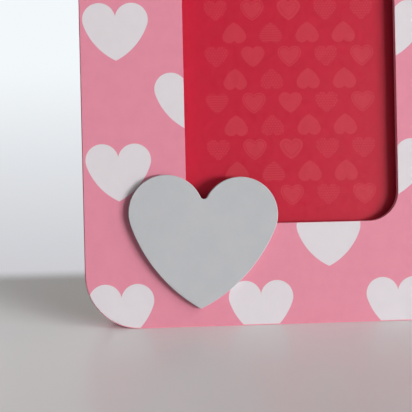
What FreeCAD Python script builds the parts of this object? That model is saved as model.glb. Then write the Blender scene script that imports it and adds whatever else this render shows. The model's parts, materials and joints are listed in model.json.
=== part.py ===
import FreeCAD, Part

import math
import os

from FreeCAD import Placement, Rotation, Vector

# A tabletop photo frame for one 4 by 6 inch print, all lengths in millimetres.
# A thick board with round corners carries a printed face and a window. A heart plaque is glued over the
# window's lower left corner. Behind the window lie a clear sheet, the print, a filler card and a back panel,
# held by six turn buttons. An easel leg hangs on a riveted hinge on the back panel.
#
# Every piece is made in the board's own frame: X to the right, Y from the front face to the back, Z up the
# board from its bottom edge, with X = 0 on the centre line and the leg folded flat. Then the leg opens, the
# whole leans back about the board's front bottom edge, and the board's bottom and the leg's sole are cut
# flush with Z = 0.

# Print, window and board
print_width = 101.6
print_height = 152.4
print_clearance = 0.6
window_overlap = 3.75
border_side = 45.5
border_end = 45.2
board_thickness = 9.0
board_corner_radius = 24.0
window_corner_radius = 13.5
pocket_corner_radius = 2.0
edge_break = 0.4

# Printed paper on the face
face_print_thickness = 0.25
face_print_edge_inset = 0.4
face_print_window_inset = 0.1

# Sheets in the pocket, from the window back
glazing_thickness = 1.5
insert_thickness = 0.35
filler_thickness = 1.15
panel_thickness = 2.5
sheet_clearance = 0.3

# Heart plaque, with its place given to the middle of the line between the lobes' centres
plaque_thickness = 3.2
plaque_from_left = 52.8
plaque_from_bottom = 50.25
plaque_turn_deg = 2.7
plaque_edge_break = 0.35
lobe_radius = 16.66
lobe_offset = 16.44
tip_depth = 42.1
flank_radius = 69.0
notch_radius = 1.68
tip_radius = 0.6

# Stance
lean_deg = 14.0
leg_opening_deg = 25.0

# Hinge on the back panel
hinge_height = 145.0
hinge_width = 20.0
hinge_sheet = 0.8
pin_radius = 1.0
pin_running_clearance = 0.05
pin_press_clearance = 0.01
pin_head_radius = 1.6
pin_head_thickness = 0.5
end_knuckle_length = 5.0
knuckle_gap = 0.2
leaf_length = 16.0
leaf_corner_radius = 2.0
joggle_length = 4.0
hinge_clearance = 0.5

# Easel leg
leg_thickness = 2.5
leg_gap = 1.0
leg_head_width = 34.0
leg_corner_radius = 3.0
leg_head_corner_radius = 1.5
leg_notch_clearance = 1.0
stop_gap = 0.15

# Rivets
rivet_radius = 1.5
rivet_fit = 0.02
rivet_head_radius = 2.8
rivet_head_height = 1.0
rivet_head_round = 0.7
rivet_tail_radius = 2.3
rivet_tail_height = 0.5
rivet_from_pin = 10.5
rivet_spacing = 11.0

# Turn buttons and their screws
button_sheet = 0.8
button_pivot_radius = 5.0
button_tip_radius = 3.0
button_reach_to_tip = 11.0
button_setback = 6.5
button_from_corner = 11.4
button_gap = 0.1
button_leg_clearance = 2.0
rib_radius = 1.2
rib_length = 5.0
rib_from_pivot = 5.2
rib_height = 0.5
rib_round = 0.3
screw_radius = 1.25
screw_fit = 0.02
screw_running_clearance = 0.05
screw_depth = 6.0
screw_point_length = 1.5
screw_point_radius = 0.2
screw_hole_extra = 0.5
screw_head_radius = 3.2
screw_head_height = 1.6
screw_head_round = 0.8
recess_width = 0.7
recess_length = 3.6
recess_depth = 0.9

# Cuts run this far past what they cut, and two places closer than the tolerance are the same
cut_overrun = 2.0
place_tolerance = 0.01

# Worked out from the sizes above
window_width = print_width + 2 * print_clearance - 2 * window_overlap
window_height = print_height + 2 * print_clearance - 2 * window_overlap
board_width = window_width + 2 * border_side
board_height = window_height + 2 * border_end
pocket_width = window_width + 2 * window_overlap
pocket_height = window_height + 2 * window_overlap
pocket_bottom = border_end - window_overlap
pocket_depth = glazing_thickness + insert_thickness + filler_thickness + panel_thickness
glazing_front = board_thickness - pocket_depth
insert_front = glazing_front + glazing_thickness
filler_front = insert_front + insert_thickness
panel_front = filler_front + filler_thickness
lean = math.radians(lean_deg)
leg_opening = math.radians(leg_opening_deg)
leg_slope = leg_opening - lean

knuckle_radius = pin_radius + pin_running_clearance + hinge_sheet
pin_offset = leg_gap + leg_thickness + hinge_sheet - knuckle_radius
pin_back = board_thickness + pin_offset
middle_knuckle_length = hinge_width - 2 * end_knuckle_length - 2 * knuckle_gap
leg_front = board_thickness + leg_gap
leg_rear_offset = leg_gap + leg_thickness - pin_offset
pin_above_floor = hinge_height * math.cos(lean) - pin_back * math.sin(lean)
leg_length = (pin_above_floor + leg_rear_offset * math.sin(leg_slope)) / math.cos(leg_slope)
stop_reach = pin_offset - (pin_offset - leg_gap) * math.cos(leg_opening) - stop_gap
leg_head_rise = stop_reach / math.sin(leg_opening)
leg_notch_width = hinge_width + 2 * pin_head_thickness + 2 * leg_notch_clearance
knuckle_room = knuckle_radius + hinge_clearance

# The leg's foot is as wide as the two lower buttons' sweep leaves
button_sweep = button_reach_to_tip + button_tip_radius
button_x = pocket_width / 2 - button_from_corner
leg_foot_width = 2 * (button_x - button_sweep - button_leg_clearance)
button_front = board_thickness + button_gap
screw_head_front = button_front + button_sheet + button_gap

toward_back = Vector(0, 1, 0)
along_x = Vector(1, 0, 0)


def edges_along_y(shape, spots=None):
    """The shape's straight edges along Y, or only those at the given (x, z) spots."""
    found = []
    for edge in shape.Edges:
        ends = [vertex.Point for vertex in edge.Vertexes]
        if len(ends) != 2:
            continue
        sideways = math.hypot(ends[0].x - ends[1].x, ends[0].z - ends[1].z)
        if sideways > place_tolerance or abs(ends[0].y - ends[1].y) < place_tolerance:
            continue
        near = [math.hypot(ends[0].x - x, ends[0].z - z) < place_tolerance for x, z in spots or []]
        if spots is None or any(near):
            found.append(edge)
    return found


def edges_at_depth(shape, y):
    """The shape's edges that lie wholly in the plane at depth y."""
    found = []
    for edge in shape.Edges:
        middle = edge.valueAt((edge.FirstParameter + edge.LastParameter) / 2)
        places = [vertex.Point.y for vertex in edge.Vertexes] + [middle.y]
        if all(abs(place - y) < place_tolerance for place in places):
            found.append(edge)
    return found


def plate(width, height, radius, bottom, front, thickness):
    """A flat plate with round corners, centred on X = 0."""
    box = Part.makeBox(width, thickness, height, Vector(-width / 2, front, bottom))
    return box.makeFillet(radius, edges_along_y(box))


def rod(radius, length, x, front, z):
    """A cylinder along Y."""
    return Part.makeCylinder(radius, length, Vector(x, front, z), toward_back)


def prism(points, front, thickness):
    """A solid with straight sides along Y, from its (x, z) corners."""
    corners = [Vector(x, front, z) for x, z in points]
    outline = Part.makePolygon(corners + corners[:1])
    return Part.Face(outline).extrude(toward_back * thickness)


def arc(start, middle, end):
    """An edge through three (x, z) points in the plane Y = 0."""
    return Part.Arc(*[Vector(x, 0, z) for x, z in (start, middle, end)]).toShape()


def point_on(centre, radius, towards):
    """The point of a circle that lies from its centre towards another point."""
    distance = math.hypot(towards[0] - centre[0], towards[1] - centre[1])
    share = radius / distance
    return (centre[0] + share * (towards[0] - centre[0]), centre[1] + share * (towards[1] - centre[1]))


def short_arc(centre, radius, start, end):
    """The shorter way round a circle from one of its points to another."""
    chord_middle = ((start[0] + end[0]) / 2, (start[1] + end[1]) / 2)
    return arc(start, point_on(centre, radius, chord_middle), end)


def heart_outline():
    """The plaque's outline: a notch, two round lobes, two long curved flanks and a small round tip."""
    lobe = (lobe_offset, 0)
    notch = (0, math.sqrt((lobe_radius + notch_radius) ** 2 - lobe_offset ** 2))
    # The flank's circle holds the lobe's circle inside it, touches it and runs through the sharp tip
    reach = math.hypot(lobe_offset, tip_depth)
    along = ((flank_radius - lobe_radius) ** 2 - flank_radius ** 2 + reach ** 2) / (2 * reach)
    across = math.sqrt((flank_radius - lobe_radius) ** 2 - along ** 2)
    to_tip = (-lobe_offset / reach, -tip_depth / reach)
    flank = (lobe[0] + along * to_tip[0] + across * to_tip[1], along * to_tip[1] - across * to_tip[0])
    tip = (0, flank[1] - math.sqrt((flank_radius - tip_radius) ** 2 - flank[0] ** 2))

    notch_bottom = (0, notch[1] - notch_radius)
    lobe_start = point_on(lobe, lobe_radius, notch)
    lobe_top = (lobe_offset, lobe_radius)
    lobe_end = point_on(flank, flank_radius, lobe)
    tip_start = point_on(flank, flank_radius, tip)
    tip_bottom = (0, tip[1] - tip_radius)
    stretches = [
        (notch, notch_radius, notch_bottom, lobe_start),
        (lobe, lobe_radius, lobe_start, lobe_top),
        (lobe, lobe_radius, lobe_top, lobe_end),
        (flank, flank_radius, lobe_end, tip_start),
        (tip, tip_radius, tip_start, tip_bottom),
    ]
    right = [short_arc(*stretch) for stretch in stretches]
    left = []
    for centre, radius, start, end in reversed(stretches):
        mirrored = [(-x, z) for x, z in (centre, end, start)]
        left.append(short_arc(mirrored[0], radius, mirrored[1], mirrored[2]))
    return Part.Wire(right + left)


def button_places():
    """Each turn button's pivot as (x, z), with the way its tongue points, in degrees from straight up."""
    below = pocket_bottom - button_setback
    above = pocket_bottom + pocket_height + button_setback
    beside = pocket_width / 2 + button_setback
    middle = pocket_bottom + pocket_height / 2
    return [
        (-button_x, above, 180),
        (button_x, above, 180),
        (beside, middle, -90),
        (button_x, below, 0),
        (-button_x, below, 0),
        (-beside, middle, 90),
    ]


def front_board():
    board = plate(board_width, board_height, board_corner_radius, 0, 0, board_thickness)
    board = board.makeFillet(edge_break, edges_at_depth(board, 0))
    window = plate(window_width, window_height, window_corner_radius, border_end,
                   -cut_overrun, board_thickness + 2 * cut_overrun)
    pocket = plate(pocket_width, pocket_height, pocket_corner_radius, pocket_bottom,
                   glazing_front, pocket_depth + cut_overrun)
    board = board.cut(window).cut(pocket)
    hole_depth = screw_depth + screw_hole_extra
    for x, z, _ in button_places():
        hole = rod(screw_radius + screw_fit, hole_depth + cut_overrun, x, board_thickness - hole_depth, z)
        board = board.cut(hole)
    return board


def face_print():
    edge = face_print_edge_inset
    sheet = plate(board_width - 2 * edge, board_height - 2 * edge, board_corner_radius - edge, edge,
                  -face_print_thickness, face_print_thickness)
    lip = face_print_window_inset
    window = plate(window_width + 2 * lip, window_height + 2 * lip, window_corner_radius + lip,
                   border_end - lip, -face_print_thickness - cut_overrun,
                   face_print_thickness + 2 * cut_overrun)
    return sheet.cut(window)


def heart_plaque():
    plaque = Part.Face(heart_outline()).extrude(toward_back * plaque_thickness)
    plaque = plaque.makeFillet(plaque_edge_break, edges_at_depth(plaque, 0))
    place = Vector(plaque_from_left - board_width / 2, -face_print_thickness - plaque_thickness,
                   plaque_from_bottom)
    plaque.Placement = Placement(place, Rotation(toward_back, plaque_turn_deg))
    return plaque


def pocket_sheet(front, thickness):
    """A sheet that fills the pocket but for its clearance."""
    return plate(pocket_width - 2 * sheet_clearance, pocket_height - 2 * sheet_clearance,
                 pocket_corner_radius, pocket_bottom + sheet_clearance, front, thickness)


def photo_insert():
    bottom = pocket_bottom + print_clearance
    place = Vector(-print_width / 2, insert_front, bottom)
    return Part.makeBox(print_width, insert_thickness, print_height, place)


def rivet_places(height):
    return [(-rivet_spacing / 2, height), (rivet_spacing / 2, height)]


def back_panel():
    panel = pocket_sheet(panel_front, panel_thickness)
    for x, z in rivet_places(hinge_height + rivet_from_pin):
        hole_depth = panel_thickness + 2 * cut_overrun
        hole = rod(rivet_radius + rivet_fit, hole_depth, x, panel_front - cut_overrun, z)
        panel = panel.cut(hole)
    return panel


def rivet_head(x, front, z):
    """A domed rivet head that sits on the plane at depth front."""
    head = rod(rivet_head_radius, rivet_head_height, x, front, z)
    return head.makeFillet(rivet_head_round, edges_at_depth(head, front + rivet_head_height))


def panel_rivets():
    """Two rivets that join the fixed leaf to the back panel, flush with the panel's inner face."""
    rivets = []
    for x, z in rivet_places(hinge_height + rivet_from_pin):
        shank = rod(rivet_radius, panel_thickness + hinge_sheet, x, panel_front, z)
        rivets.append(shank.fuse(rivet_head(x, board_thickness + hinge_sheet, z)).removeSplitter())
    return Part.makeCompound(rivets)


def leg_rivets():
    """Two rivets that join the moving leaf to the leg, with their flat tails on the leg's inner face."""
    rivets = []
    leaf_rear = leg_front + leg_thickness + hinge_sheet
    for x, z in rivet_places(hinge_height - rivet_from_pin):
        tail = rod(rivet_tail_radius, rivet_tail_height, x, leg_front - rivet_tail_height, z)
        shank = rod(rivet_radius, leaf_rear - leg_front, x, leg_front, z)
        rivets.append(tail.fuse([shank, rivet_head(x, leaf_rear, z)]).removeSplitter())
    return Part.makeCompound(rivets)


def knuckle(x, length):
    """A rolled knuckle round the hinge pin, from x to the right, before its bore is cut."""
    return Part.makeCylinder(knuckle_radius, length, Vector(x, pin_back, hinge_height), along_x)


def pin_bore(clearance):
    """What is cut for the hinge pin, from one side of the hinge to the other."""
    start = Vector(-hinge_width / 2 - cut_overrun, pin_back, hinge_height)
    return Part.makeCylinder(pin_radius + clearance, hinge_width + 2 * cut_overrun, start, along_x)


def leaf_holes(leaf, front, height):
    for x, z in rivet_places(height):
        hole = rod(rivet_radius + rivet_fit, hinge_sheet + 2 * cut_overrun, x, front - cut_overrun, z)
        leaf = leaf.cut(hole)
    return leaf


def hinge_leaf_fixed():
    """The leaf on the back panel, with a knuckle at each end that a short joggle lifts off the panel."""
    top = hinge_height + leaf_length
    bottom = hinge_height + joggle_length
    leaf = Part.makeBox(hinge_width, hinge_sheet, top - bottom,
                        Vector(-hinge_width / 2, board_thickness, bottom))
    spots = [(-hinge_width / 2, top), (hinge_width / 2, top)]
    leaf = leaf.makeFillet(leaf_corner_radius, edges_along_y(leaf, spots))
    leaf = leaf_holes(leaf, board_thickness, hinge_height + rivet_from_pin)
    lift = pin_back - knuckle_radius
    for x in (-hinge_width / 2, hinge_width / 2 - end_knuckle_length):
        corners = [
            Vector(x, board_thickness, bottom),
            Vector(x, board_thickness + hinge_sheet, bottom),
            Vector(x, lift + hinge_sheet, hinge_height),
            Vector(x, lift, hinge_height),
        ]
        joggle = Part.Face(Part.makePolygon(corners + corners[:1])).extrude(along_x * end_knuckle_length)
        leaf = leaf.fuse([joggle, knuckle(x, end_knuckle_length)])
    return leaf.cut(pin_bore(pin_press_clearance)).removeSplitter()


def hinge_leaf_moving():
    """The leaf on the leg's outer face, with the middle knuckle."""
    front = leg_front + leg_thickness
    bottom = hinge_height - leaf_length
    shoulder = hinge_height - knuckle_room
    leaf = Part.makeBox(hinge_width, hinge_sheet, shoulder - bottom, Vector(-hinge_width / 2, front, bottom))
    spots = [(-hinge_width / 2, bottom), (hinge_width / 2, bottom)]
    leaf = leaf.makeFillet(leaf_corner_radius, edges_along_y(leaf, spots))
    leaf = leaf_holes(leaf, front, hinge_height - rivet_from_pin)
    neck = Part.makeBox(middle_knuckle_length, hinge_sheet, hinge_height - shoulder,
                        Vector(-middle_knuckle_length / 2, front, shoulder))
    leaf = leaf.fuse([neck, knuckle(-middle_knuckle_length / 2, middle_knuckle_length)])
    return leaf.cut(pin_bore(pin_running_clearance)).removeSplitter()


def hinge_pin():
    left = Vector(-hinge_width / 2, pin_back, hinge_height)
    pin = Part.makeCylinder(pin_radius, hinge_width, left, along_x)
    heads = [
        Part.makeCylinder(pin_head_radius, pin_head_thickness, left - along_x * pin_head_thickness, along_x),
        Part.makeCylinder(pin_head_radius, pin_head_thickness, left + along_x * hinge_width, along_x),
    ]
    return pin.fuse(heads).removeSplitter()


def easel_leg():
    """The leg, folded flat. Its head rises past the pin on both sides of the hinge, as the opening stop."""
    top = hinge_height + leg_head_rise
    bottom = hinge_height - leg_length
    notch_floor = hinge_height - knuckle_room
    head = leg_head_width / 2
    foot = leg_foot_width / 2
    notch = leg_notch_width / 2
    outline = [
        (-foot, bottom), (foot, bottom), (head, top), (notch, top),
        (notch, notch_floor), (-notch, notch_floor), (-notch, top), (-head, top),
    ]
    leg = prism(outline, leg_front, leg_thickness)
    leg = leg.makeFillet(leg_corner_radius, edges_along_y(leg, outline[:2]))
    leg = leg.makeFillet(leg_head_corner_radius, edges_along_y(leg, [outline[2], outline[7]]))
    for x, z in rivet_places(hinge_height - rivet_from_pin):
        hole = rod(rivet_radius + rivet_fit, leg_thickness + 2 * cut_overrun, x, leg_front - cut_overrun, z)
        leg = leg.cut(hole)
    return leg


def drop_face(pivot_radius, tip_radius, length):
    """A drop-shaped face in the plane Y = 0: a circle at the origin and one straight above it."""
    side = math.asin((pivot_radius - tip_radius) / length)
    across = math.cos(side)
    up = math.sin(side)
    pivot_right = (pivot_radius * across, pivot_radius * up)
    tip_right = (tip_radius * across, length + tip_radius * up)
    pivot_left = (-pivot_right[0], pivot_right[1])
    tip_left = (-tip_right[0], tip_right[1])
    lines = [
        Part.LineSegment(Vector(pivot_right[0], 0, pivot_right[1]), Vector(tip_right[0], 0, tip_right[1])),
        Part.LineSegment(Vector(tip_left[0], 0, tip_left[1]), Vector(pivot_left[0], 0, pivot_left[1])),
    ]
    round_tip = arc(tip_right, (0, length + tip_radius), tip_left)
    round_pivot = arc(pivot_left, (0, -pivot_radius), pivot_right)
    return Part.Face(Part.Wire([lines[0].toShape(), round_tip, lines[1].toShape(), round_pivot]))


def turn_button(x, z, turn_deg):
    """A pressed steel button with a raised finger rib, its tongue turned over the back panel."""
    button = drop_face(button_pivot_radius, button_tip_radius, button_reach_to_tip)
    button = button.extrude(toward_back * button_sheet)
    button = button.cut(rod(screw_radius + screw_running_clearance, button_sheet + 2 * cut_overrun,
                            0, -cut_overrun, 0))
    rib = drop_face(rib_radius, rib_radius, rib_length).extrude(toward_back * rib_height)
    rib = rib.makeFillet(rib_round, edges_at_depth(rib, rib_height))
    rib.translate(Vector(0, button_sheet, rib_from_pivot))
    button = button.fuse(rib)
    button.Placement = Placement(Vector(x, button_front, z), Rotation(toward_back, turn_deg))
    return button


def button_screw(x, z):
    """A pan head wood screw that the turn button pivots on."""
    head = rod(screw_head_radius, screw_head_height, x, screw_head_front, z)
    top = screw_head_front + screw_head_height
    head = head.makeFillet(screw_head_round, edges_at_depth(head, top))
    for width, height in ((recess_width, recess_length), (recess_length, recess_width)):
        slot = Part.makeBox(width, recess_depth + cut_overrun, height,
                            Vector(x - width / 2, top - recess_depth, z - height / 2))
        head = head.cut(slot)
    shank_end = board_thickness - screw_depth + screw_point_length
    shank = rod(screw_radius, screw_head_front - shank_end, x, shank_end, z)
    point = Part.makeCone(screw_point_radius, screw_radius, screw_point_length,
                          Vector(x, board_thickness - screw_depth, z), toward_back)
    return head.fuse([shank, point]).removeSplitter()


def board_pieces():
    pieces = {
        "front_board": front_board(),
        "face_print": face_print(),
        "heart_plaque": heart_plaque(),
        "glazing_sheet": pocket_sheet(glazing_front, glazing_thickness),
        "photo_insert": photo_insert(),
        "filler_card": pocket_sheet(filler_front, filler_thickness),
        "back_panel": back_panel(),
        "panel_rivets": panel_rivets(),
        "hinge_leaf_fixed": hinge_leaf_fixed(),
        "hinge_pin": hinge_pin(),
    }
    for number, (x, z, turn_deg) in enumerate(button_places(), 1):
        pieces["turn_button_%d" % number] = turn_button(x, z, turn_deg)
        pieces["button_screw_%d" % number] = button_screw(x, z)
    return pieces


def leg_pieces():
    return {
        "easel_leg": easel_leg(),
        "hinge_leaf_moving": hinge_leaf_moving(),
        "leg_rivets": leg_rivets(),
    }


def placed(shape, placement):
    moved = shape.copy()
    moved.Placement = placement.multiply(moved.Placement)
    return moved


def cut_flush(standing):
    """Cuts what stands on the floor flush with it."""
    depth = cut_overrun + board_thickness
    below = Part.makeBox(2 * board_width, 2 * board_height, depth, Vector(-board_width, -board_height, -depth))
    return standing.cut(below)


def main():
    pin = Vector(0, pin_back, hinge_height)
    leaned = Placement(Vector(), Rotation(along_x, -lean_deg))
    opened = Placement(Vector(), Rotation(along_x, leg_opening_deg), pin)
    pieces = {name: placed(shape, leaned) for name, shape in board_pieces().items()}
    for name, shape in leg_pieces().items():
        pieces[name] = placed(shape, leaned.multiply(opened))
    for name in ("front_board", "easel_leg"):
        pieces[name] = cut_flush(pieces[name])

    box = Part.makeCompound(list(pieces.values())).optimalBoundingBox(True, False)
    centred = Placement(Vector(0, -(box.YMin + box.YMax) / 2, 0), Rotation())
    os.makedirs("parts", exist_ok=True)
    for name, shape in sorted(pieces.items()):
        shape = placed(shape, centred)
        shape.exportStep(os.path.join("parts", name + ".step"))
        print("%-20s %d solid(s), %.1f mm3" % (name, len(shape.Solids), shape.Volume))

    standing = centred.multiply(leaned)
    print("standing box", box.XLength, box.YLength, box.ZLength)
    print("hinge pin at", standing.multVec(pin))
    for number, (x, z, _) in enumerate(button_places(), 1):
        print("turn button", number, "pivots at", standing.multVec(Vector(x, board_thickness, z)))
    print("board's front bottom edge at", standing.multVec(Vector(0, 0, 0)))
    print("leg length", leg_length, "head rise", leg_head_rise, "lip", glazing_front)


main()
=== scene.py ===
import json
import math

import bmesh
import bpy
from mathutils import Matrix, Vector
from mathutils.geometry import delaunay_2d_cdt


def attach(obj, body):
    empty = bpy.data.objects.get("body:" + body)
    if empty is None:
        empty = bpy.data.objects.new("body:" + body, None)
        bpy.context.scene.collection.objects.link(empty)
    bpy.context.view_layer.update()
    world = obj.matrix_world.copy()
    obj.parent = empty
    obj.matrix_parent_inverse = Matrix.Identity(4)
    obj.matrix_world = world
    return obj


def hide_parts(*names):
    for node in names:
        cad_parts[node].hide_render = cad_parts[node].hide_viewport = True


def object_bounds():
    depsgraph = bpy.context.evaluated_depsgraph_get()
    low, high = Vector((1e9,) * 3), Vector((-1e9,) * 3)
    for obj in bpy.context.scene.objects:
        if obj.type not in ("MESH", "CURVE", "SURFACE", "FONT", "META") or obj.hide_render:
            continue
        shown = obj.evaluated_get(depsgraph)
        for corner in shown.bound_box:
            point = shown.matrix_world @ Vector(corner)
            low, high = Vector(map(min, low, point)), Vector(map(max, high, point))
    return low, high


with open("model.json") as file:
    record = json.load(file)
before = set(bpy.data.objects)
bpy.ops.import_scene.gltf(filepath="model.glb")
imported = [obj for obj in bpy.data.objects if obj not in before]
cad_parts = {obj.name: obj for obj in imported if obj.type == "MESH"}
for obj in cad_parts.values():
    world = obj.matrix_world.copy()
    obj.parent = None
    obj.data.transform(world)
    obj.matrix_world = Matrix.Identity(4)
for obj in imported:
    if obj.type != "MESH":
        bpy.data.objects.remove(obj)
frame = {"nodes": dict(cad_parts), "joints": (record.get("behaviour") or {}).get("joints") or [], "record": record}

cad_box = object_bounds()

# A photo frame's looks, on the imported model. Sizes are in millimetres in the board's own frame: X to the
# right, Y from the front face to the back, Z up the board, with X = 0 on the centre line. Lamps and the
# table top are in metres in the scene. Colours are as a picture gives them, from 0 to 255.
MM = 0.001
joints = {joint["name"]: joint for joint in frame["joints"]}
mounts = {mount["name"]: mount for mount in frame["record"]["mounts"]}

board_thickness = 9.0
button_axis = joints["button_turn_1"]["axis"]
lean = math.atan2(-button_axis[2], button_axis[1])
leg_opening = math.radians(joints["leg_fold"]["range_deg"][1])

# The board's front bottom edge stands half a bottom face in front of that face's middle
to_front = board_thickness * MM / math.cos(lean) / 2
front_edge = Vector(mounts["base_edge"]["pos_m"]) - Vector((0, to_front, 0))

# From the board's frame, and from the folded leg's, to where they stand
board_place = Matrix.Translation(front_edge) @ Matrix.Rotation(-lean, 4, "X")
leg_pin = board_place.inverted() @ Vector(joints["leg_fold"]["pos_m"])
leg_place = (board_place @ Matrix.Translation(leg_pin) @ Matrix.Rotation(leg_opening, 4, "X")
             @ Matrix.Translation(-leg_pin))


def board_box(node):
    """A CAD node's lowest and highest corners in the board's frame, in millimetres."""
    back = board_place.inverted()
    corners = [back @ vertex.co / MM for vertex in frame["nodes"][node].data.vertices]
    low = Vector([min(corner[axis] for corner in corners) for axis in range(3)])
    high = Vector([max(corner[axis] for corner in corners) for axis in range(3)])
    return low, high


# Window and pocket, the sheets that are printed here, and the folded leg behind the board
board_corner_radius = 24.0
window_width = 95.3
window_height = 146.1
window_bottom = 45.2
window_corner_radius = 13.5
pocket_corner_radius = 2.0
sheet_clearance = 0.3
print_edge_inset = 0.4
print_window_inset = 0.1
leg_gap = 1.0
leg_thickness = 2.5
panel_low, panel_high = board_box("back_panel")
face_low, face_high = board_box("face_print")
insert_low, insert_high = board_box("photo_insert")
plaque_front = board_box("heart_plaque")[0].y
glazing_front = board_box("glazing_sheet")[0].y

# White hearts on the face: the first one's place from the board's corner, and the staggered pattern's pitch
face_heart_from_left = 15.9
face_heart_from_bottom = 12.55
face_heart_pitch = 62.0
face_heart_size = 28.8

# Tonal hearts on the insert: rows by turns upright and upside down, in pairs, and the marks inside them
tonal_heart_size = 10.6
tonal_pitch = 16.5
tonal_from_middle = 0.55
tonal_lowest_middle = 57.55
tonal_pair_height = 20.8
tonal_pair_rise = 10.8
tonal_rows = 12
tonal_styles = (
    "dots plain rim dots rim", "plain stripes plain plain",
    "dots rim lined dots dots", "plain dots plain plain",
    "stripes rim plain dots rim", "plain dots plain plain",
)
tonal_rim = 0.6
tonal_rim_gap = 0.3
tonal_line = 0.35
tonal_line_inset = 2 * tonal_rim
tonal_dot_radius = 0.44
tonal_dot_pitch = 1.3
tonal_dot_sides = 8
tonal_stripe_width = 0.6
tonal_stripe_pitch = 1.05
tonal_stripe_inset = 0.25
tonal_stripe_step = 0.05

# A heart's lobe radius, lobe offset, depth from its lobes' centre line to its tip and flank radius, all as
# shares of its width, and how far a drawn curve may leave the true one
face_heart_shape = (0.2528, 0.2479, 0.6285, 0.965)
tonal_heart_shape = (0.275, 0.225, 0.6065, 0.965)
curve_tolerance = 0.01

# Each sheet's inks by number, then in that order their materials' names, colours and shades, and the
# sheet's roughness and gloss
PINK, WHITE = 0, 1
RED, TONAL, FAINT = 0, 1, 2
face_inks = (
    ("print_pink", (217, 135, 154), (213, 130, 150)),
    ("print_white", (212, 206, 210), (209, 203, 207)),
)
face_matt = 0.52
face_gloss = 0.35
insert_inks = (
    ("insert_red", (195, 12, 50), (192, 10, 47)),
    ("insert_tonal", (200, 44, 64), (197, 41, 61)),
    ("insert_faint", (197, 29, 57), (194, 26, 54)),
)
insert_matt = 0.41
insert_gloss = 0.43

# How far behind the clear sheet the insert's print starts, the side of a square in which a point's regions
# are looked up, and how near two outlines' points fall together
insert_gap = 0.04
lookup_cell = 4.0
merge_distance = 1e-5


def arc_points(centre, radius, start, end):
    """Points along the shorter way round a circle, from one of its points to just before another."""
    first = math.atan2(start[1] - centre[1], start[0] - centre[0])
    turn = math.atan2(end[1] - centre[1], end[0] - centre[0]) - first
    turn = (turn + math.pi) % math.tau - math.pi
    # A chord over an angle leaves its arc by radius * angle ** 2 / 8
    steps = max(1, math.ceil(abs(turn) * math.sqrt(radius / (8 * curve_tolerance))))
    angles = [first + turn * step / steps for step in range(steps)]
    return [(centre[0] + radius * math.cos(angle), centre[1] + radius * math.sin(angle))
            for angle in angles]


def heart_loop(x, z, width, shape, upside_down=False, grow=0.0):
    """A heart's outline round the middle of its lobes' centre line, grown outwards, or shrunk where grow is
    under zero."""
    lobe_radius, lobe_offset, tip_depth, flank_radius = (share * width for share in shape)
    # The flank's circle holds the lobe's circle, touches it and passes through the tip
    lobe = (lobe_offset, 0)
    reach = math.hypot(lobe_offset, tip_depth)
    inner = flank_radius - lobe_radius
    along = (inner ** 2 - flank_radius ** 2 + reach ** 2) / (2 * reach)
    across = math.sqrt(inner ** 2 - along ** 2)
    to_tip = (-lobe_offset / reach, -tip_depth / reach)
    flank = (lobe[0] + along * to_tip[0] + across * to_tip[1], along * to_tip[1] - across * to_tip[0])
    notch = (0, math.sqrt(lobe_radius ** 2 - lobe[0] ** 2))
    right = []
    start = (0, math.sqrt((lobe_radius + max(grow, 0)) ** 2 - lobe[0] ** 2))
    if grow < 0:
        share = -grow / lobe_radius
        start = (share * lobe[0], notch[1] - share * notch[1])
        right = arc_points(notch, -grow, (0, notch[1] + grow), start)
    top = (lobe[0], lobe_radius + grow)
    outer = (flank_radius + grow) / inner
    lobe_end = (flank[0] + outer * (lobe[0] - flank[0]), flank[1] + outer * (lobe[1] - flank[1]))
    tip = (0, flank[1] - math.sqrt((flank_radius + grow) ** 2 - flank[0] ** 2))
    right += arc_points(lobe, lobe_radius + grow, start, top)
    right += arc_points(lobe, lobe_radius + grow, top, lobe_end)
    right += arc_points(flank, flank_radius + grow, lobe_end, tip) + [tip]
    left = [(-px, pz) for px, pz in reversed(right[1:-1])]
    flip = -1 if upside_down else 1
    return [(x + flip * px, z + flip * pz) for px, pz in right + left]


def round_rectangle(low, high, radius):
    """A rectangle with round corners, from its lowest and highest (x, z) corners."""
    points = []
    corners = ((high[0], high[1]), (low[0], high[1]), (low[0], low[1]), (high[0], low[1]))
    for quarter, (x, z) in enumerate(corners):
        centre = (x + radius if x == low[0] else x - radius, z + radius if z == low[1] else z - radius)
        ends = []
        for angle in (quarter * math.pi / 2, (quarter + 1) * math.pi / 2):
            ends.append((centre[0] + radius * math.cos(angle), centre[1] + radius * math.sin(angle)))
        points += arc_points(centre, radius, *ends) + [ends[1]]
    return points


def dot_loop(x, z):
    """The outline of a small round dot."""
    angles = [math.tau * side / tonal_dot_sides for side in range(tonal_dot_sides)]
    return [(x + tonal_dot_radius * math.cos(angle), z + tonal_dot_radius * math.sin(angle))
            for angle in angles]


def inside(loop, x, z):
    """Whether a point lies in a closed outline."""
    hit = False
    for (x0, z0), (x1, z1) in zip(loop, loop[1:] + loop[:1]):
        if (z0 > z) != (z1 > z) and x < (x1 - x0) * (z - z0) / (z1 - z0) + x0:
            hit = not hit
    return hit


class Region:
    """A closed outline and the ink that fills it. Where regions overlap, the last one shows."""

    def __init__(self, loop, ink):
        self.loop = loop
        self.ink = ink
        self.low = (min(x for x, _ in loop), min(z for _, z in loop))
        self.high = (max(x for x, _ in loop), max(z for _, z in loop))

    def holds(self, x, z):
        return (self.low[0] <= x <= self.high[0] and self.low[1] <= z <= self.high[1]
                and inside(self.loop, x, z))


def regions_by_cell(regions):
    """The regions that reach into each square cell of a grid, in their order."""
    cells = {}
    for region in regions:
        first = [math.floor(place / lookup_cell) for place in region.low]
        last = [math.floor(place / lookup_cell) for place in region.high]
        for column in range(first[0], last[0] + 1):
            for row in range(first[1], last[1] + 1):
                cells.setdefault((column, row), []).append(region)
    return cells


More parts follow.
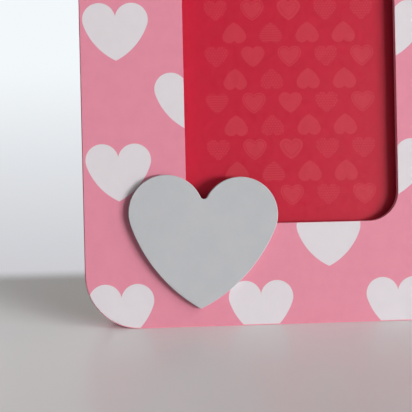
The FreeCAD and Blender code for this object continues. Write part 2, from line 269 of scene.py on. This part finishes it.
def printed_sheet(name, sheet_region, holes, prints, front, back):
    """A flat sheet whose front is cut along its prints' outlines, each with the material of its ink."""
    spots = []
    outlines = []
    for region in [sheet_region] + holes + prints:
        first = len(spots)
        count = len(region.loop)
        spots += [Vector(point) for point in region.loop]
        outlines += [(first + step, first + (step + 1) % count) for step in range(count)]
    keep_hull = 0
    flat, _, triangles, *_ = delaunay_2d_cdt(spots, outlines, [], keep_hull, merge_distance, False)
    cells = regions_by_cell(prints)

    sheet = bmesh.new()
    fronts = [sheet.verts.new((point.x * MM, front * MM, point.y * MM)) for point in flat]
    backs = [sheet.verts.new((point.x * MM, back * MM, point.y * MM)) for point in flat]
    backs_of = dict(zip(fronts, backs))
    for corners in triangles:
        x = sum(flat[corner].x for corner in corners) / len(corners)
        z = sum(flat[corner].y for corner in corners) / len(corners)
        if not sheet_region.holds(x, z) or any(hole.holds(x, z) for hole in holes):
            continue
        cell = (math.floor(x / lookup_cell), math.floor(z / lookup_cell))
        inks = [region.ink for region in cells.get(cell, ()) if region.holds(x, z)]
        front_face = sheet.faces.new([fronts[corner] for corner in corners])
        front_face.material_index = inks[-1] if inks else sheet_region.ink
        back_face = sheet.faces.new([backs[corner] for corner in reversed(corners)])
        back_face.material_index = sheet_region.ink
    rim = [edge for edge in sheet.edges if edge.is_boundary and edge.verts[0] in backs_of]
    for edge in rim:
        start = edge.link_loops[0].vert
        end = edge.other_vert(start)
        wall = sheet.faces.new([end, start, backs_of[start], backs_of[end]])
        wall.material_index = sheet_region.ink
    loose = [vertex for vertex in sheet.verts if not vertex.link_faces]
    bmesh.ops.delete(sheet, geom=loose, context="VERTS")
    bmesh.ops.recalc_face_normals(sheet, faces=sheet.faces)
    bmesh.ops.transform(sheet, matrix=board_place, verts=sheet.verts)

    mesh = bpy.data.meshes.new(name)
    sheet.to_mesh(mesh)
    sheet.free()
    piece = bpy.data.objects.new(name, mesh)
    bpy.context.scene.collection.objects.link(piece)
    return piece


def srgb(red, green, blue):
    """A colour as a picture gives it, from 0 to 255, as the shader's linear one."""
    linear = []
    for value in (red, green, blue):
        share = value / 255
        linear.append(share / 12.92 if share <= 0.04045 else ((share + 0.055) / 1.055) ** 2.4)
    return (*linear, 1.0)


class Finish:
    """A material's node tree, with short calls for the nodes that the finishes are made of."""

    # The Mix node's sockets for the two values and the result, by the kind of value
    mix_sockets = {"VECTOR": (4, 5, 1), "RGBA": (6, 7, 2)}

    def __init__(self, name):
        self.material = bpy.data.materials.new(name)
        self.material.use_nodes = True
        self.nodes = self.material.node_tree.nodes
        self.links = self.material.node_tree.links
        self.surface = self.nodes["Principled BSDF"]
        self.place = self.nodes.new("ShaderNodeTexCoord").outputs["Object"]

    def put(self, socket, value):
        if isinstance(value, bpy.types.NodeSocket):
            self.links.new(value, socket)
        else:
            socket.default_value = value

    def set(self, **values):
        """Sets the surface shader's inputs, with _ in their names for a space."""
        for name, value in values.items():
            self.put(self.surface.inputs[name.replace("_", " ")], value)

    def node(self, kind, inputs=(), **settings):
        node = self.nodes.new(kind)
        for name, value in settings.items():
            setattr(node, name, value)
        for socket, value in dict(inputs).items():
            self.put(node.inputs[socket], value)
        return node

    def mix_shaders(self, share, first, second):
        """Shows one shader where the share is 0 and another where it is 1."""
        mixed = self.node("ShaderNodeMixShader", {0: share, 1: first.outputs[0], 2: second.outputs[0]})
        self.links.new(mixed.outputs[0], self.nodes["Material Output"].inputs["Surface"])

    def math(self, operation, first, second=0.0):
        return self.node("ShaderNodeMath", {0: first, 1: second}, operation=operation).outputs[0]

    def total(self, first, second):
        return self.math("ADD", first, second)

    def less(self, first, second):
        return self.math("SUBTRACT", first, second)

    def both(self, first, second):
        """The product, and with it the share in which two conditions hold at once."""
        return self.math("MULTIPLY", first, second)

    def either(self, first, second):
        """The larger value, and with it the share in which one of two conditions holds."""
        return self.math("MAXIMUM", first, second)

    def steps(self, value, low, high, to_low=0.0, to_high=1.0):
        """Maps a value smoothly from one range to another and stops at its ends."""
        inputs = {"Value": value, "From Min": low, "From Max": high, "To Min": to_low, "To Max": to_high}
        kind = "ShaderNodeMapRange"
        return self.node(kind, inputs, interpolation_type="SMOOTHSTEP", clamp=True).outputs[0]

    def placed(self, matrix):
        """Coordinates in millimetres in the frame that a matrix places in the scene."""
        back = matrix.inverted()
        inputs = {"Vector": self.place, "Location": back.to_translation() / MM,
                  "Rotation": back.to_euler(), "Scale": (1 / MM, 1 / MM, 1 / MM)}
        return self.node("ShaderNodeMapping", inputs, vector_type="POINT").outputs[0]

    def scaled(self, vector, x, y, z):
        inputs = {0: vector, 1: (x, y, z)}
        return self.node("ShaderNodeVectorMath", inputs, operation="MULTIPLY").outputs[0]

    def axes(self, vector):
        return self.node("ShaderNodeSeparateXYZ", {0: vector}).outputs[:]

    def noise(self, vector, size, detail=3.0, roughness=0.55):
        """A cloudy value from 0 to 1 with features of about the given size."""
        inputs = {"Vector": vector, "Scale": 1 / size, "Detail": detail, "Roughness": roughness}
        return self.node("ShaderNodeTexNoise", inputs).outputs["Fac"]

    def cells(self, vector, size, feature="F1"):
        inputs = {"Vector": vector, "Scale": 1 / size}
        return self.node("ShaderNodeTexVoronoi", inputs, feature=feature).outputs["Distance"]

    def blend(self, share, first, second, kind="RGBA"):
        """One colour or vector where the share is 0, the other where it is 1."""
        first_socket, second_socket, result = self.mix_sockets[kind]
        inputs = {0: share, first_socket: first, second_socket: second}
        return self.node("ShaderNodeMix", inputs, data_type=kind).outputs[result]

    def bump(self, height, depth, normal=None):
        """Relief of the given depth in millimetres."""
        node = self.node("ShaderNodeBump", {"Height": height, "Distance": depth * MM, "Strength": 1.0})
        if normal is not None:
            self.put(node.inputs["Normal"], normal)
        return node.outputs[0]


def dress(nodes, material):
    """Puts a material on CAD nodes."""
    for name in nodes:
        for slot in frame["nodes"][name].material_slots:
            slot.material = material


def printed_paper(name, colour, shade, matt, gloss):
    """Coated paper under ink: a fine grain, a faint mottle, pale specks and a satin sheen."""
    finish = Finish(name)
    board = finish.placed(board_place)
    mottle = finish.noise(board, size=6.0, detail=4.0)
    grain_size = 0.12
    grain = finish.noise(board, size=grain_size, detail=2.0)
    relief = finish.noise(board, size=1.6 * grain_size, detail=3.0)
    specks = finish.steps(finish.noise(board, size=0.3, detail=1.0), 0.62, 0.75)
    speck_colour = [min(255, 1.06 * part) for part in colour]
    tone = finish.steps(finish.total(mottle, finish.both(grain, 0.6)), 0.5, 1.1)
    inked = finish.blend(tone, srgb(*colour), srgb(*shade))
    sheen = finish.noise(board, size=2.5)
    finish.set(
        Base_Color=finish.blend(finish.both(specks, 0.12), inked, srgb(*speck_colour)),
        Roughness=finish.steps(sheen, 0.25, 0.75, matt - 0.05, matt + 0.06),
        Specular_IOR_Level=gloss,
        Normal=finish.bump(relief, depth=0.003),
    )
    return finish.material


def distance_to_outline(finish, x, z, half_width, half_height, radius):
    """How far a point lies outside a rounded rectangle that is centred on zero, under zero inside it."""
    across = finish.less(finish.math("ABSOLUTE", x), half_width - radius)
    up = finish.less(finish.math("ABSOLUTE", z), half_height - radius)
    out_x = finish.either(across, 0.0)
    out_z = finish.either(up, 0.0)
    round_part = finish.math("SQRT", finish.total(finish.both(out_x, out_x), finish.both(out_z, out_z)))
    flat_part = finish.math("MINIMUM", finish.either(across, up), 0.0)
    return finish.less(finish.total(round_part, flat_part), radius)


def painted_board():
    """Fibreboard with pink paint on its outer edges and its window's walls, bare at the back and behind the
    sheets."""
    finish = Finish("painted_fibreboard")
    board = finish.placed(board_place)
    x, y, z = finish.axes(board)
    above_middle = finish.less(z, (face_low.z + face_high.z) / 2)

    # Patches of overspray, the widest 2.5 mm in from the back's edge
    edge_half_width = (face_high.x - face_low.x) / 2 + print_edge_inset
    edge_half_height = (face_high.z - face_low.z) / 2 + print_edge_inset
    from_edge = distance_to_outline(finish, x, above_middle, edge_half_width, edge_half_height,
                                    board_corner_radius)
    patches = finish.noise(board, size=3.0, detail=5.0)
    overspray = finish.total(from_edge, finish.steps(patches, 0.3, 0.7, 0.0, 1.6))
    on_back = finish.steps(y, board_thickness - 0.08, board_thickness - 0.02)
    painted_back = finish.steps(overspray, -0.9, 0.4)

    # The routed pocket is bare from just in front of the clear sheet
    pocket_half_width = (panel_high.x - panel_low.x) / 2 + sheet_clearance
    pocket_half_height = (panel_high.z - panel_low.z) / 2 + sheet_clearance
    from_pocket = distance_to_outline(finish, x, above_middle, pocket_half_width, pocket_half_height,
                                      pocket_corner_radius)
    routed = finish.both(finish.steps(from_pocket, 0.05, 0.2, 1.0, 0.0),
                         finish.steps(y, glazing_front - 0.4, glazing_front - 0.1))
    bare = finish.either(routed, finish.both(on_back, finish.less(1.0, painted_back)))

    fibres = finish.noise(finish.scaled(board, 1.0, 3.0, 2.2), size=0.7, detail=6.0, roughness=0.7)
    clouds = finish.noise(board, size=14.0, detail=3.0)
    flecks = finish.noise(finish.scaled(board, 1.0, 1.0, 3.0), size=0.9, detail=2.0)
    flecks = finish.steps(flecks, 0.66, 0.74)
    wood = finish.blend(finish.steps(fibres, 0.3, 0.7), srgb(150, 116, 84), srgb(188, 156, 120))
    wood = finish.blend(finish.steps(clouds, 0.35, 0.7, 0.0, 0.35), wood, srgb(196, 168, 134))
    wood = finish.blend(finish.both(flecks, 0.45), wood, srgb(112, 82, 58))
    wood = finish.blend(finish.both(routed, 0.6), wood, srgb(122, 82, 56))
    paint = finish.blend(finish.steps(patches, 0.35, 0.7), srgb(240, 150, 172), srgb(234, 142, 164))
    fibre_relief = finish.bump(fibres, depth=0.05)
    paint_relief = finish.bump(finish.noise(board, size=0.8, detail=2.0), depth=0.012)
    finish.set(
        Base_Color=finish.blend(bare, paint, wood),
        Roughness=finish.steps(bare, 0.0, 1.0, 0.45, 0.85),
        Specular_IOR_Level=0.35,
        Normal=finish.blend(bare, paint_relief, fibre_relief, "VECTOR"),
    )
    return finish.material


def plaque_paint():
    """Matt grey paint with a fine speckle, and fibres under it on the cut sides."""
    finish = Finish("plaque_paint")
    board = finish.placed(board_place)
    depth = finish.axes(board)[1]
    cut_side = finish.steps(depth, plaque_front + 0.3, plaque_front + 0.6)
    speckle = finish.noise(board, size=0.35, detail=3.0, roughness=0.7)
    clouds = finish.noise(board, size=9.0, detail=3.0)
    fibres = finish.noise(finish.scaled(board, 1.0, 4.0, 1.0), size=1.2, detail=5.0, roughness=0.7)
    light = finish.steps(speckle, 0.56, 0.74)
    dark = finish.steps(speckle, 0.44, 0.28)
    cut_fibres = finish.both(cut_side, finish.steps(fibres, 0.45, 0.7, 0.0, 0.5))
    grey = finish.blend(finish.steps(clouds, 0.3, 0.7), srgb(180, 181, 184), srgb(176, 178, 181))
    grey = finish.blend(finish.both(light, 0.5), grey, srgb(191, 192, 194))
    grey = finish.blend(finish.both(dark, 0.55), grey, srgb(163, 165, 168))
    grey = finish.blend(cut_fibres, grey, srgb(150, 151, 154))
    grain = finish.bump(speckle, depth=0.02)
    finish.set(
        Base_Color=grey,
        Roughness=finish.steps(speckle, 0.3, 0.7, 0.62, 0.72),
        Specular_IOR_Level=0.3,
        Normal=finish.bump(finish.both(fibres, cut_side), depth=0.06, normal=grain),
    )
    return finish.material


def clear_sheet():
    """A clear plastic sheet with smudges that mirrors a little and lets the light through."""
    finish = Finish("clear_sheet")
    board = finish.placed(board_place)
    smudges = finish.steps(finish.noise(board, size=22.0, detail=4.0), 0.5, 0.8, 0.03, 0.16)
    scuffs = finish.noise(finish.scaled(board, 1.0, 1.0, 0.2), size=1.5, detail=2.0)
    mirror = finish.node("ShaderNodeBsdfGlossy", {"Color": srgb(250, 252, 252), "Roughness": smudges,
                                                  "Normal": finish.bump(scuffs, depth=0.0005)})
    through = finish.node("ShaderNodeBsdfTransparent", {"Color": srgb(252, 254, 253)})
    rim = finish.node("ShaderNodeLayerWeight", {"Blend": 0.12}).outputs["Fresnel"]
    finish.mix_shaders(finish.both(rim, 0.12), through, mirror)
    finish.nodes.remove(finish.surface)
    return finish.material


def grey_card():
    """Recycled card with fibres and specks."""
    finish = Finish("grey_card")
    board = finish.placed(board_place)
    fibres = finish.noise(finish.scaled(board, 1.0, 1.0, 2.0), size=0.8, detail=5.0)
    specks = finish.steps(finish.noise(board, size=0.6, detail=1.0), 0.66, 0.72)
    card = finish.blend(finish.steps(fibres, 0.3, 0.7), srgb(146, 142, 134), srgb(172, 168, 160))
    finish.set(
        Base_Color=finish.blend(finish.both(specks, 0.6), card, srgb(96, 92, 88)),
        Roughness=finish.steps(fibres, 0.3, 0.7, 0.8, 0.92),
        Normal=finish.bump(fibres, depth=0.03),
    )
    return finish.material


def backing_board(name, place, front, back):
    """Hardboard under grained black paper, with brown fibrous edges between its two faces."""
    finish = Finish(name)
    local = finish.placed(place)
    y = finish.axes(local)[1]
    cover = 0.12
    edge = finish.both(finish.steps(y, front + cover, front + cover * 1.5),
                       finish.steps(y, back - cover * 1.5, back - cover, 1.0, 0.0))
    grain_cells = finish.cells(finish.scaled(local, 1.0, 1.0, 0.8), size=0.75, feature="SMOOTH_F1")
    grain = finish.total(grain_cells, finish.both(finish.noise(local, size=0.4), 0.5))
    wear = finish.noise(local, size=30.0, detail=5.0)
    scratches = finish.noise(finish.scaled(local, 0.05, 1.0, 1.4), size=1.1, detail=1.0)
    rubbed = finish.both(finish.steps(wear, 0.52, 0.7), finish.steps(scratches, 0.7, 0.76))
    black = finish.blend(finish.steps(grain, 0.3, 0.9), srgb(52, 52, 55), srgb(34, 34, 37))
    black = finish.blend(finish.both(rubbed, 0.5), black, srgb(96, 94, 92))
    fibres = finish.noise(finish.scaled(local, 1.0, 3.5, 1.0), size=0.9, detail=5.0, roughness=0.7)
    brown = finish.blend(finish.steps(fibres, 0.3, 0.7), srgb(84, 58, 40), srgb(128, 94, 66))
    finish.set(
        Base_Color=finish.blend(edge, black, brown),
        Roughness=finish.either(finish.steps(wear, 0.3, 0.7, 0.52, 0.64), finish.both(edge, 0.85)),
        Specular_IOR_Level=0.45,
        Normal=finish.bump(finish.blend(edge, grain, fibres), depth=0.06),
    )
    return finish.material


def nickel_steel(name, place):
    """Nickel-plated sheet and rivets with fine drawn lines."""
    finish = Finish(name)
    local = finish.placed(place)
    lines = finish.noise(finish.scaled(local, 0.12, 2.0, 6.0), size=0.5, detail=4.0)
    clouds = finish.noise(local, size=5.0, detail=4.0)
    dull = finish.steps(clouds, 0.4, 0.75)
    finish.set(
        Base_Color=finish.blend(dull, srgb(206, 199, 186), srgb(176, 168, 154)),
        Metallic=1.0,
        Roughness=finish.total(finish.steps(clouds, 0.3, 0.8, 0.2, 0.34), finish.both(lines, 0.12)),
        Normal=finish.bump(lines, depth=0.008),
    )
    return finish.material


def zinc_steel(name, pivot):
    """Zinc-plated steel: pale clouds, scattered scratches and rubbed rings round the screw."""
    finish = Finish(name)
    local = finish.placed(board_place)
    from_pivot = finish.node("ShaderNodeVectorMath", {0: local, 1: pivot}, operation="DISTANCE")
    around = from_pivot.outputs["Value"]
    rings = finish.noise(finish.node("ShaderNodeCombineXYZ", {0: around}).outputs[0], size=0.14, detail=3.0)
    rubbed = finish.both(finish.steps(rings, 0.5, 0.66), finish.steps(around, 5.2, 4.2))
    clouds = finish.noise(local, size=3.2, detail=5.0)
    scratches = finish.noise(finish.scaled(local, 0.2, 1.0, 2.4), size=0.4, detail=2.0)
    worn = finish.either(rubbed, finish.steps(scratches, 0.64, 0.7))
    metal = finish.blend(finish.steps(clouds, 0.3, 0.7), srgb(196, 202, 208), srgb(172, 178, 186))
    finish.set(
        Base_Color=finish.blend(finish.both(rubbed, 0.4), metal, srgb(222, 222, 220)),
        Metallic=1.0,
        Roughness=finish.less(finish.steps(clouds, 0.25, 0.75, 0.28, 0.42), finish.both(worn, 0.1)),
        Normal=finish.bump(finish.total(finish.noise(local, size=0.5), worn), depth=0.006),
    )
    return finish.material


def face_hearts():
    """The staggered white hearts that reach onto the face."""
    left = face_low.x - print_edge_inset
    bottom = face_low.z - print_edge_inset
    half_pitch = face_heart_pitch / 2
    columns = math.ceil((face_high.x - left) / half_pitch)
    rows = math.ceil((face_high.z - bottom) / half_pitch)
    hearts = []
    for row in range(rows + 1):
        for column in range(row % 2, columns + 1, 2):
            x = left + face_heart_from_left + column * half_pitch
            z = bottom + face_heart_from_bottom + row * half_pitch
            hearts.append(Region(heart_loop(x, z, face_heart_size, face_heart_shape), WHITE))
    return hearts


def face_sheet():
    """The face's print, with its hole a little wider than the window."""
    outline = round_rectangle((face_low.x, face_low.z), (face_high.x, face_high.z),
                              board_corner_radius - print_edge_inset)
    lip = print_window_inset
    window = round_rectangle((-window_width / 2 - lip, window_bottom - lip),
                             (window_width / 2 + lip, window_bottom + window_height + lip),
                             window_corner_radius + lip)
    return printed_sheet("face_print_hearts", Region(outline, PINK), [Region(window, PINK)], face_hearts(),
                         face_low.y, face_high.y)


def dots(x, z, limit):
    """A small heart's dots in staggered rows, as far as their middles lie in the limit."""
    reach = math.ceil(tonal_heart_size / tonal_dot_pitch)
    marks = []
    for row in range(-reach, reach + 1):
        for column in range(-reach, reach + 1):
            dot_x = x + (column + (row % 2) / 2) * tonal_dot_pitch
            dot_z = z + row * tonal_dot_pitch * math.sqrt(3) / 2
            if limit.holds(dot_x, dot_z):
                marks.append(Region(dot_loop(dot_x, dot_z), TONAL))
    return marks


def stripes(x, z, limit):
    """A small heart's level stripes, each as long as its corners stay in the limit."""
    reach = math.ceil(tonal_heart_size / tonal_stripe_pitch)
    steps = math.ceil(tonal_heart_size / 2 / tonal_stripe_step)
    marks = []
    for row in range(-reach, reach + 1):
        low = z + row * tonal_stripe_pitch
        high = low + tonal_stripe_width
        places = [x + step * tonal_stripe_step for step in range(-steps, steps + 1)]
        span = [place for place in places if limit.holds(place, low) and limit.holds(place, high)]
        if span:
            corners = [(span[0], low), (span[-1], low), (span[-1], high), (span[0], high)]
            marks.append(Region(corners, TONAL))
    return marks


def tonal_heart(x, z, upside_down, style):
    """One small heart in its style: plain, with a rim or a thin inner line, dotted or striped."""

    def heart(ink, grow=0.0):
        loop = heart_loop(x, z, tonal_heart_size, tonal_heart_shape, upside_down, grow)
        return Region(loop, ink)

    if style == "plain":
        return [heart(TONAL)]
    if style == "rim":
        return [heart(TONAL), heart(RED, -tonal_rim), heart(TONAL, -tonal_rim - tonal_rim_gap)]
    if style == "lined":
        return [heart(TONAL), heart(FAINT, -tonal_line_inset), heart(TONAL, -tonal_line_inset - tonal_line)]
    if style == "dots":
        return [heart(FAINT)] + dots(x, z, heart(TONAL, -tonal_dot_radius / 2))
    return [heart(FAINT)] + stripes(x, z, heart(TONAL, -tonal_stripe_inset))


def insert_hearts():
    """The insert's rows of tonal hearts."""
    # A heart's lobes lie above the middle of its height
    lobe_radius, _, tip_depth, _ = tonal_heart_shape
    lobes_up = (tip_depth - lobe_radius) / 2 * tonal_heart_size
    hearts = []
    for row in range(tonal_rows):
        styles = tonal_styles[row % len(tonal_styles)].split()
        upside_down = row % 2 == 1
        z = tonal_lowest_middle + (row // 2) * tonal_pair_height + (row % 2) * tonal_pair_rise
        z += -lobes_up if upside_down else lobes_up
        for place, style in enumerate(styles):
            x = tonal_from_middle + (place - (len(styles) - 1) / 2) * tonal_pitch
            hearts += tonal_heart(x, z, upside_down, style)
    return hearts


def insert_sheet():
    """The insert, a hair behind the clear sheet so that the two faces don't show through each other."""
    low = (insert_low.x, insert_low.z)
    high = (insert_high.x, insert_high.z)
    outline = [low, (high[0], low[1]), high, (low[0], high[1])]
    return printed_sheet("photo_insert_hearts", Region(outline, RED), [], insert_hearts(),
                         insert_low.y + insert_gap, insert_high.y)


face = face_sheet()
for ink in face_inks:
    face.data.materials.append(printed_paper(*ink, face_matt, face_gloss))
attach(face, "frame_body")
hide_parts("face_print")

insert = insert_sheet()
for ink in insert_inks:
    insert.data.materials.append(printed_paper(*ink, insert_matt, insert_gloss))
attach(insert, "frame_body")
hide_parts("photo_insert")

dress(["front_board"], painted_board())
dress(["heart_plaque"], plaque_paint())
dress(["glazing_sheet"], clear_sheet())
dress(["filler_card"], grey_card())
dress(["back_panel"], backing_board("backing_board", board_place, panel_low.y, panel_high.y))
leg_front = board_thickness + leg_gap
dress(["easel_leg"], backing_board("leg_board", leg_place, leg_front, leg_front + leg_thickness))
dress(["hinge_leaf_fixed", "hinge_pin", "panel_rivets"], nickel_steel("nickel_fixed", board_place))
dress(["hinge_leaf_moving", "leg_rivets"], nickel_steel("nickel_moving", leg_place))
for number in range(1, 7):
    pivot = board_place.inverted() @ Vector(joints["button_turn_%d" % number]["pos_m"]) / MM
    dress(["turn_button_%d" % number, "button_screw_%d" % number], zinc_steel("zinc_%d" % number, pivot))

# The table top's reach each way, and how far behind the scene's middle the background starts, hides the
# table and is at its palest
floor_reach = 4.0
background_start = 0.034
background_full = 0.054
background_far = 0.9


def floor_finish():
    """A pale table top with a soft shine; behind the frame it glows as painted light, grey to near white."""
    finish = Finish("table_top")
    y = finish.axes(finish.place)[1]
    clouds = finish.noise(finish.place, size=0.3, detail=1.0)
    finish.set(
        Base_Color=finish.blend(clouds, srgb(234, 233, 232), srgb(231, 230, 229)),
        Roughness=0.28,
        IOR=1.4,
    )
    # Painted light and reflection: behind the frame the table glows, grey near it to near white far off
    rise = finish.math("POWER", finish.steps(y, background_start, background_far), 0.5)
    painted_backdrop_light = finish.blend(rise, srgb(203, 203, 208), srgb(243, 248, 251))
    glow = finish.node("ShaderNodeEmission", {"Color": painted_backdrop_light, "Strength": 1.0})
    rays = finish.node("ShaderNodeLightPath").outputs
    seen = finish.either(rays["Is Camera Ray"], rays["Is Glossy Ray"])
    seen = finish.either(seen, rays["Is Transmission Ray"])
    behind = finish.both(finish.steps(y, background_start, background_full), seen)
    finish.mix_shaders(behind, finish.surface, glow)
    return finish.material


def floor():
    """The table top, one wide level square."""
    mesh = bpy.data.meshes.new("table_top")
    reach = floor_reach
    corners = [(-reach, -reach, 0), (reach, -reach, 0), (reach, reach, 0), (-reach, reach, 0)]
    mesh.from_pydata(corners, [], [(0, 1, 2, 3)])
    mesh.materials.append(floor_finish())
    top = bpy.data.objects.new("table_top", mesh)
    bpy.context.scene.collection.objects.link(top)


def surroundings(fill_level, front_level, back_level, turn):
    """A plain pale room: its fill light, what is seen of it, and what is mirrored of it, which is darker in
    front of the frame. The turn is where along Y, from -1 in front to 1 behind, the front gives way."""
    world = bpy.data.worlds.new("room")
    world.use_nodes = True
    bpy.context.scene.world = world
    nodes = world.node_tree.nodes
    links = world.node_tree.links
    rays = nodes.new("ShaderNodeLightPath").outputs

    def level(share, low, high, share_range=(0.0, 1.0)):
        node = nodes.new("ShaderNodeMapRange")
        node.interpolation_type = "SMOOTHSTEP"
        values = {"Value": share, "From Min": share_range[0], "From Max": share_range[1],
                  "To Min": low, "To Max": high}
        for name, value in values.items():
            if isinstance(value, bpy.types.NodeSocket):
                links.new(value, node.inputs[name])
            else:
                node.inputs[name].default_value = value
        return node.outputs[0]

    sides = nodes.new("ShaderNodeSeparateXYZ")
    links.new(nodes.new("ShaderNodeTexCoord").outputs["Generated"], sides.inputs[0])
    mirrored = level(sides.outputs[1], front_level, back_level, turn)
    light = level(rays["Is Glossy Ray"], fill_level, mirrored)
    light = level(rays["Is Transmission Ray"], light, back_level)
    light = level(rays["Is Camera Ray"], light, back_level)
    room = nodes["Background"]
    room.inputs["Color"].default_value = (1, 1, 1, 1)
    links.new(light, room.inputs["Strength"])


def softbox(name, towards, distance, size, level):
    """A lamp as wide and high as its size says. It gives a surface facing it the given level, where 1 shows
    a colour as written."""
    data = bpy.data.lights.new(name, "AREA")
    data.shape = "RECTANGLE"
    data.size, data.size_y = size
    # White that faces a lamp of power P from a distance D shows P / (pi * D) ** 2
    data.energy = level * math.pi ** 2 * distance ** 2
    lamp = bpy.data.objects.new(name, data)
    bpy.context.scene.collection.objects.link(lamp)
    middle = (Vector(cad_box[0]) + Vector(cad_box[1])) / 2
    lamp.location = middle + distance * towards.normalized()
    lamp.rotation_euler = towards.to_track_quat("Z", "Y").to_euler()


def on_board(angle_off, angle_up):
    """The way to a lamp: so many degrees off the face's normal, on a side so many degrees up from the
    right."""
    off = math.radians(angle_off)
    up = math.radians(angle_up)
    local = Vector((math.sin(off) * math.cos(up), -math.cos(off), math.sin(off) * math.sin(up)))
    return board_place.to_3x3() @ local


# Camera, in the board's frame, as the fit to the board's and the window's edges gives it
lens_mm = 100.0
sensor_mm = 36.0
nearest_seen_m = 0.01
camera_place = Vector((-74.87, -506.49, 60.12))
camera_yaw_deg = -4.058
camera_pitch_deg = -0.743
camera_roll_deg = -1.298


def camera():
    """The camera, which looks along the board's Y turned by its pitch, roll and yaw."""
    data = bpy.data.cameras.new("camera")
    data.lens = lens_mm
    data.sensor_width = sensor_mm
    data.clip_start = nearest_seen_m
    view = bpy.data.objects.new("camera", data)
    bpy.context.scene.collection.objects.link(view)
    turned = (Matrix.Rotation(math.radians(camera_yaw_deg), 4, "Z")
              @ Matrix.Rotation(math.radians(90 + camera_pitch_deg), 4, "X")
              @ Matrix.Rotation(math.radians(camera_roll_deg), 4, "Z"))
    view.matrix_world = board_place @ Matrix.Translation(camera_place * MM) @ turned
    bpy.context.scene.camera = view


floor()
surroundings(fill_level=0.15, front_level=0.12, back_level=0.9, turn=(-0.7, -0.2))
softbox("key", on_board(angle_off=45.0, angle_up=-4.5), distance=5.0, size=(2.4, 1.0), level=0.905)
softbox("high", Vector((0.9, -0.45, 0.75)), distance=4.0, size=(2.2, 2.2), level=0.36)
softbox("back", Vector((-0.6, 1.0, 0.06)), distance=2.0, size=(1.2, 0.4), level=0.5)
camera()
bpy.context.scene.view_settings.view_transform = "Standard"
